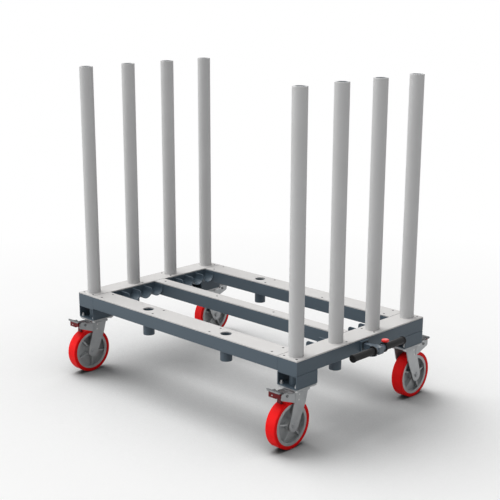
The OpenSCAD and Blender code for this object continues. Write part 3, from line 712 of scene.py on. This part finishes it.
# %% Joint lines in their places
JOINT_AT, LINE_SUNK = 569.5 * MM, 0.1 * MM
SIDE_JOINT_Y, SIDE_JOINT_L, CENTRE_JOINT_L = 350 * MM, 99 * MM, 59 * MM
gap_shade_lines = [joint_line(SIDE_JOINT_Y, SIDE_JOINT_L),
               joint_line(-SIDE_JOINT_Y, SIDE_JOINT_L),
               joint_line(0, CENTRE_JOINT_L)]
board_joints = copies_as_one(join(gap_shade_lines), "board_joints", [
    Matrix.Translation((sx * JOINT_AT, 0, -LINE_SUNK)) for sx in (-1, 1)])
# the dark strip in the gap is painted shade
finish_piece(board_joints, "frame", dark_steel)
print("joint lines:", 2 * len(gap_shade_lines))

# %% [markdown]
# ## Weld beads
# The end beams, side beams and centre beam meet in butt joints that are
# welded and painted over. A thin raised bead with small ripples shows the
# joint as a fine line. One bead is a slim cylinder that is cut into short
# lengths and squeezed at every second ring, then pressed flat.

# %% One bead
BEAD_R, BEAD_L, BEAD_RIPPLES = 1.5 * MM, 50 * MM, 24
BEAD_NECK, BEAD_FLATNESS = 0.72, 0.45
RIPPLE = BEAD_L / BEAD_RIPPLES

clear_selection()
bpy.ops.mesh.primitive_cylinder_add(vertices=10, radius=BEAD_R, depth=BEAD_L)
bead = bpy.context.object
edit(bead)
select_edges(lambda a, b: abs(a.z - b.z) > BEAD_L / 2)
bpy.ops.mesh.subdivide(number_cuts=BEAD_RIPPLES - 1)
select_edges(lambda a, b: abs(a.z - b.z) < NEAR
             and round(a.z / RIPPLE + BEAD_RIPPLES / 2) % 2 == 0)
bpy.ops.transform.resize(value=(BEAD_NECK, BEAD_NECK, 1))
settle(bead, smooth_angle=80)
bead.data.transform(Matrix.Diagonal((1, BEAD_FLATNESS, 1, 1)))
print("faces of one bead:", len(bead.data.polygons))

# %% Beads in their places
BEAM_JOINT_X, BEAM_MID = 570 * MM, -32.5 * MM
BEAD_ROWS = (400 * MM, 300 * MM, 30 * MM)
bead_places = [Matrix.Translation((sx * BEAM_JOINT_X, sy * y, BEAM_MID))
               for sx in (-1, 1) for sy in (-1, 1) for y in BEAD_ROWS]
weld_beads = copies_as_one(bead, "weld_beads", bead_places)
finish_piece(weld_beads, "frame", frame_paint)
print("beads:", len(bead_places))

# %% [markdown]
# ## The bush of the drawbar
# The square drawbar slides in a black plastic bush that fills the pocket of
# the guide on the end face. It is a plain box at first. Both ends are inset,
# the inner faces are brought to the size of the bar plus a little play, and
# bridging them opens the passage. A last bevel softens the mouth.

# %% Guide bush
BUSH_T, BUSH_W, BUSH_H = 4.6 * MM, 37.4 * MM, 30.4 * MM
BUSH_X, BUSH_Z = 675.5 * MM, -30 * MM
BUSH_HOLE, BUSH_INSET, BUSH_BEVEL = 23.2 * MM, 2 * MM, 0.5 * MM


def at_bush_mouth(point):
    """Whether a corner of the bush belongs to the outer end of the hole."""
    return point.x > 0 and max(abs(point.y), abs(point.z)) < BUSH_HOLE / 2 + NEAR


clear_selection()
bpy.ops.mesh.primitive_cube_add(size=1)
bush = bpy.context.object
bush.scale = (BUSH_T, BUSH_W, BUSH_H)
bpy.ops.object.transform_apply(location=False, rotation=False, scale=True)
edit(bush)
select_faces(lambda c, n: abs(n.x) > FACING)
bpy.ops.mesh.inset(thickness=BUSH_INSET, use_individual=True)
bpy.ops.transform.resize(value=(1, BUSH_HOLE / (BUSH_W - 2 * BUSH_INSET),
                                BUSH_HOLE / (BUSH_H - 2 * BUSH_INSET)))
bpy.ops.mesh.bridge_edge_loops()
select_edges(lambda a, b: at_bush_mouth(a) and at_bush_mouth(b))
bpy.ops.mesh.bevel(offset=BUSH_BEVEL, segments=2)
settle(bush)
bush.data.transform(Matrix.Translation((BUSH_X, 0, BUSH_Z)))
bush.name = "guide_bush"
finish_piece(bush, "frame", grip_plastic)
print("bush faces:", len(bush.data.polygons))

# %% [markdown]
# ## Small parts of a caster
# The four casters are alike, so each small part is modelled once in the
# caster's own place: x across the wheel, y outward from the swivel, z up.
# The front casters are the rear ones mirrored.

# %% Where a caster stands
CASTERS = {"front_left": (-1, -1), "front_right": (1, -1),
           "rear_left": (-1, 1), "rear_right": (1, 1)}
CASTER_X, CASTER_Y = 620 * MM, 340 * MM
BOTH_SIDES = [Matrix.Diagonal((side, 1, 1, 1)) for side in (-1, 1)]
SEATED = 0.2 * MM    # how far a small part sinks into what carries it


def caster_place(corner):
    """The matrix that takes a caster's own place to its corner of the cart."""
    sx, sy = CASTERS[corner]
    return (Matrix.Translation((sx * CASTER_X, sy * CASTER_Y, 0))
            @ Matrix.Diagonal((1, sy, 1, 1)))


def on_every_caster(piece, name, body_start, material):
    """One finished copy of piece for each caster, riding on that caster's body."""
    for corner in CASTERS:
        placed = copy_at(piece, caster_place(corner))
        call_it(placed, name + "_" + corner)
        finish_piece(placed, body_start + "_" + corner, material)
    bpy.data.objects.remove(piece, do_unlink=True)


print("casters:", list(CASTERS))

# %% [markdown]
# Two rivets tie each leg of the pressed fork to the brake's inner parts, and
# a rib pressed into the leg stiffens it. The head of a rivet is a low round
# boss. The rib is the same boss pulled long: the two halves of its side are
# moved apart, so that it keeps its round ends.

# %% A boss, round or long
QUARTER_TURN = math.pi / 2


def make_boss(radius, height, stretch=0, vertices=24):
    """A boss that stands up along x, pulled long by stretch along y."""
    clear_selection()
    bpy.ops.mesh.primitive_cylinder_add(vertices=vertices, radius=radius,
                                        depth=height, location=(0, 0, height / 2))
    boss = bpy.context.object
    edit(boss)
    if stretch:
        for way in (1, -1):
            select_faces(lambda c, n: n.y * way > 0.01)
            bpy.ops.transform.translate(value=(0, way * stretch / 2, 0))
    settle(boss, smooth_angle=50)
    boss.data.transform(Matrix.Rotation(QUARTER_TURN, 4, "Y"))
    return boss


print("boss ready")

# %% Fork rivets and ribs
LEG_FACE = 34 * MM
RIVET_R, RIVET_H = 3.4 * MM, 1.6 * MM
RIVETS = ((25 * MM, -144 * MM), (29 * MM, -165 * MM))
LEG_RIB_R, LEG_RIB_H, LEG_RIB_STRETCH = 2.6 * MM, 1.4 * MM, 34 * MM
LEG_RIB_AT = (43 * MM, -152 * MM)

leg_rivets = copies_as_one(make_boss(RIVET_R, RIVET_H), "fork_rivets", [
    side @ Matrix.Translation((LEG_FACE - SEATED, *place))
    for side in BOTH_SIDES for place in RIVETS])
on_every_caster(leg_rivets, "fork_rivets", "caster", bolt_zinc)

leg_rib = make_boss(LEG_RIB_R, LEG_RIB_H, LEG_RIB_STRETCH)
leg_rib.data.transform(Matrix.Rotation(QUARTER_TURN, 4, "X"))
leg_ribs = copies_as_one(leg_rib, "fork_ribs", [
    side @ Matrix.Translation((LEG_FACE - SEATED, *LEG_RIB_AT))
    for side in BOTH_SIDES])
on_every_caster(leg_ribs, "fork_ribs", "caster", caster_zinc)
print("fork rivets and ribs placed")

# %% [markdown]
# Each wheel runs on a ball bearing whose pressed dust cover shows round the
# axle. The cover is a ring: both faces of a disc are inset, and bridging the
# inner ones opens the hole. Then the outer face is inset once more and pushed
# in, which leaves a shallow groove between two rims.

# %% Bearing covers
COVER_R, COVER_HOLE, COVER_T = 21 * MM, 14 * MM, 1.3 * MM
COVER_RIM, COVER_GROOVE = 1.8 * MM, 0.6 * MM
HUB_FACE, AXLE_Y, AXLE_Z = 24.5 * MM, 53 * MM, -265 * MM

clear_selection()
bpy.ops.mesh.primitive_cylinder_add(vertices=40, radius=COVER_R, depth=COVER_T,
                                    location=(0, 0, COVER_T / 2))
cover = bpy.context.object
edit(cover)
select_faces(lambda c, n: abs(n.z) > FACING)
bpy.ops.mesh.inset(thickness=COVER_R - COVER_HOLE, use_individual=True)
bpy.ops.mesh.bridge_edge_loops()
select_faces(lambda c, n: n.z > FACING)
bpy.ops.mesh.inset(thickness=COVER_RIM)
bpy.ops.transform.translate(value=(0, 0, -COVER_GROOVE))
settle(cover)
cover.data.transform(Matrix.Rotation(QUARTER_TURN, 4, "Y"))
covers = copies_as_one(cover, "bearing_covers", [
    side @ Matrix.Translation((HUB_FACE, AXLE_Y, AXLE_Z)) for side in BOTH_SIDES])
on_every_caster(covers, "bearing_covers", "wheel", dark_steel)
print("bearing covers placed")

# %% [markdown]
# ## Pedal and block
# The pedal carries a ribbed pad, so that a shoe does not slip off, and a
# bright rivet holds the red block. The pad's near-black colour is painted
# shade from the corner tube above it, as the block's dark red is painted shade
# from the pedal. The pad is a T: a box for the stem whose far end is extruded
# and widened for the foot, with its upper rim bevelled. Pad and ribs are
# modelled flat, at the height of the pedal, and then tilted with it about the
# pedal's pin.

# %% Shape of the foot pad
PIN_Y, PIN_Z, PEDAL_TILT = 94.1 * MM, -133 * MM, math.radians(22)
FOOT_TOP, PAD_T, PAD_BEVEL, PAD_SUNK = 6.5 * MM, 1.2 * MM, 0.5 * MM, 0.1 * MM
STEM_FROM, FOOT_FROM, FOOT_TO = 12 * MM, 34.5 * MM, 44.5 * MM
STEM_HALF, FOOT_HALF = 25 * MM, 36 * MM
tilt = (Matrix.Translation((0, PIN_Y, PIN_Z))
        @ Matrix.Rotation(PEDAL_TILT, 4, "X"))


def on_pad_rim(a, b):
    """Whether an edge is on the upper rim of the pad: its sides, root or tip."""
    if min(a.z, b.z) < PAD_T - NEAR:
        return False
    half = FOOT_HALF if a.y + b.y > 2 * FOOT_FROM + NEAR else STEM_HALF
    on_side = abs(a.x - b.x) < NEAR and abs(abs(a.x) - half) < NEAR
    to_end = min(abs(a.y - STEM_FROM), abs(a.y - FOOT_TO))
    on_end = abs(a.y - b.y) < NEAR and to_end < NEAR
    return on_side or on_end


print("pad from", round(STEM_FROM / MM, 1), "to", round(FOOT_TO / MM, 1), "mm")

# %% Foot pad
clear_selection()
bpy.ops.mesh.primitive_cube_add(size=1)
pad = bpy.context.object
pad.scale = (2 * STEM_HALF, FOOT_FROM - STEM_FROM, PAD_T)
pad.location = (0, (STEM_FROM + FOOT_FROM) / 2, PAD_T / 2)
bpy.ops.object.transform_apply(location=True, rotation=False, scale=True)
edit(pad)
select_faces(lambda c, n: n.y > FACING)
bpy.ops.mesh.extrude_region_move(
    TRANSFORM_OT_translate={"value": (0, FOOT_TO - FOOT_FROM, 0)})
for side in (-1, 1):
    select_faces(lambda c, n: n.x * side > FACING and c.y > FOOT_FROM)
    bpy.ops.mesh.extrude_region_move(
        TRANSFORM_OT_translate={"value": (side * (FOOT_HALF - STEM_HALF), 0, 0)})
select_edges(on_pad_rim)
bpy.ops.mesh.bevel(offset=PAD_BEVEL, segments=2)
settle(pad)
pad.data.transform(tilt @ Matrix.Translation((0, 0, FOOT_TOP - PAD_SUNK)))
# the near-black pad is painted shade from the corner tube above
on_every_caster(pad, "foot_pads", "pedal", grip_plastic)
print("foot pads placed")

# %% [markdown]
# The ribs lie across the pad, four on the stem and three longer ones on the
# foot. One long boss serves for all: it is scaled to the length of its row.

# %% Foot ribs
FOOT_RIB_R, FOOT_RIB_H, FOOT_RIB_STRETCH = 0.9 * MM, 0.8 * MM, 64 * MM
FOOT_RIB_L, FOOT_RIB_SUNK = 66 * MM, 0.3 * MM
FOOT_RIBS = (36 * MM, 39.5 * MM, 43 * MM)
STEM_RIB_L, STEM_RIBS = 46 * MM, (15 * MM, 19.5 * MM, 24 * MM, 28.5 * MM)
RIB_ROWS = ([(y, STEM_RIB_L) for y in STEM_RIBS]
            + [(y, FOOT_RIB_L) for y in FOOT_RIBS])

foot_rib = make_boss(FOOT_RIB_R, FOOT_RIB_H, FOOT_RIB_STRETCH, vertices=12)
foot_rib.data.transform(Matrix.Rotation(-QUARTER_TURN, 4, "Y"))
foot_rib.data.transform(Matrix.Rotation(QUARTER_TURN, 4, "Z"))
foot_ribs = copies_as_one(foot_rib, "foot_ribs", [
    tilt @ Matrix.Translation((0, y, FOOT_TOP + PAD_T - FOOT_RIB_SUNK))
    @ Matrix.Diagonal((length / FOOT_RIB_L, 1, 1, 1)) for y, length in RIB_ROWS])
on_every_caster(foot_ribs, "foot_ribs", "pedal", painted_shade_pedal_zinc)
print("ribs on each pad:", len(RIB_ROWS))

# %% Block rivet
BLOCK_RIVET_R, BLOCK_RIVET_H = 2.6 * MM, 1.2 * MM
BLOCK_FRONT, BLOCK_RIVET_X, BLOCK_RIVET_Z = 130.75 * MM, -10 * MM, -131.5 * MM

block_rivet = make_boss(BLOCK_RIVET_R, BLOCK_RIVET_H)
block_rivet.data.transform(Matrix.Rotation(QUARTER_TURN, 4, "Z"))
block_rivet.data.transform(Matrix.Translation(
    (BLOCK_RIVET_X, BLOCK_FRONT - SEATED, BLOCK_RIVET_Z)))
on_every_caster(block_rivet, "block_rivet", "pedal", bolt_zinc)
print("block rivets placed")

# %% [markdown]
# ## The floor
# The picture stands on a plain white sweep with no horizon. One wide plane
# does it. Near the cart it is a matt floor that takes the shadow: it throws
# light on like a pale grey, while the eye sees it nearly white. An Ambient
# Occlusion node tells how much of its surroundings a floor point sees, and
# darkens the floor's colour a little where the cart stands over it: a painted
# shadow laid over the cast one.

# %% Floor
FLOOR_SIZE, FLOOR_GAP = 60, 0.2 * MM
FLOOR_ROUGHNESS, FLOOR_SPECULAR = 0.9, 0.1
FLOOR_THROWS, FLOOR_SHOWS = (0.8, 0.8, 0.8), (0.99, 0.99, 0.985)
SHADE_REACH, SHADE_SAMPLES = 1.0, 16
SHADE_OPEN, SHADE_DEEP = (0.35, 1.0), (0.45, 1.0)

floor_height = cad_box[0][2]
clear_selection()
bpy.ops.mesh.primitive_plane_add(size=FLOOR_SIZE,
                                 location=(0, 0, floor_height - FLOOR_GAP))
floor = bpy.context.object
floor.name = "studio_floor"
floor_material = bpy.data.materials.new("studio_floor")
floor_material.use_nodes = True
floor_tree = floor_material.node_tree
floor_shader = floor_tree.nodes["Principled BSDF"]
floor_shader.inputs["Roughness"].default_value = FLOOR_ROUGHNESS
floor_shader.inputs["Specular IOR Level"].default_value = FLOOR_SPECULAR
floor_seen = seen_directly(floor_tree)
floor_tone = mix_tones(floor_tree, floor_seen, FLOOR_THROWS, FLOOR_SHOWS)

# the occlusion darkens the floor's colour: painted shadow
occlusion_for_painted_shadow = floor_tree.nodes.new("ShaderNodeAmbientOcclusion")
occlusion_for_painted_shadow.samples = SHADE_SAMPLES
occlusion_for_painted_shadow.inputs["Distance"].default_value = SHADE_REACH
painted_shadow_share = add_range(floor_tree, occlusion_for_painted_shadow.outputs["AO"], SHADE_OPEN, SHADE_DEEP)
floor_tone_with_painted_shadow = floor_tree.nodes.new("ShaderNodeVectorMath")
floor_tone_with_painted_shadow.operation = "SCALE"
floor_tree.links.new(floor_tone, floor_tone_with_painted_shadow.inputs[0])
floor_tree.links.new(painted_shadow_share, floor_tone_with_painted_shadow.inputs["Scale"])
floor_tree.links.new(floor_tone_with_painted_shadow.outputs[0], floor_shader.inputs["Base Color"])
print("floor at", round(floor_height, 4))

# %% [markdown]
# Further out the floor turns into plain white, as a paper sweep does where it
# climbs behind the object, so that floor and background run into one another.
# The distance from the middle of the cart decides, and only for rays that
# see the floor directly.

# %% Sweep behind the cart
SWEEP_FROM, SWEEP_TO = 1.3, 3.2

reach = floor_tree.nodes.new("ShaderNodeVectorMath")
reach.operation = "LENGTH"
floor_tree.links.new(object_place(floor_tree), reach.inputs[0])
far_out = add_range(floor_tree, reach.outputs["Value"], (SWEEP_FROM, SWEEP_TO),
                    (0.0, 1.0))
far_white = add_math(floor_tree, "MULTIPLY", far_out, floor_seen)
paper = floor_tree.nodes.new("ShaderNodeEmission")
sweep = floor_tree.nodes.new("ShaderNodeMixShader")
floor_tree.links.new(far_white, sweep.inputs["Fac"])
floor_tree.links.new(floor_shader.outputs[0], sweep.inputs[1])
floor_tree.links.new(paper.outputs[0], sweep.inputs[2])
floor_tree.links.new(sweep.outputs[0],
                     floor_tree.nodes["Material Output"].inputs["Surface"])
floor.data.materials.append(floor_material)
settle(floor)
print("plain white from", SWEEP_TO, "m on")

# %% [markdown]
# The lamps that only rim and fill are kept off the floor, as a photographer
# does with flags, so that they don't wash out the shadow of the main light
# and of the one above. Light linking does it: such a lamp lights everything
# but what its collection excludes, which is the floor.

# %% Lamps kept off the floor
FLOOR_LAMPS = ("key_lamp", "top_lamp")
flagged = bpy.data.collections.new("flagged_off")
flagged.objects.link(floor)
flagged.collection_objects[0].light_linking.link_state = "EXCLUDE"
for name, *_ in PANELS:
    if name not in FLOOR_LAMPS:
        bpy.data.objects[name].light_linking.receiver_collection = flagged
print("lamps on the floor:", FLOOR_LAMPS)
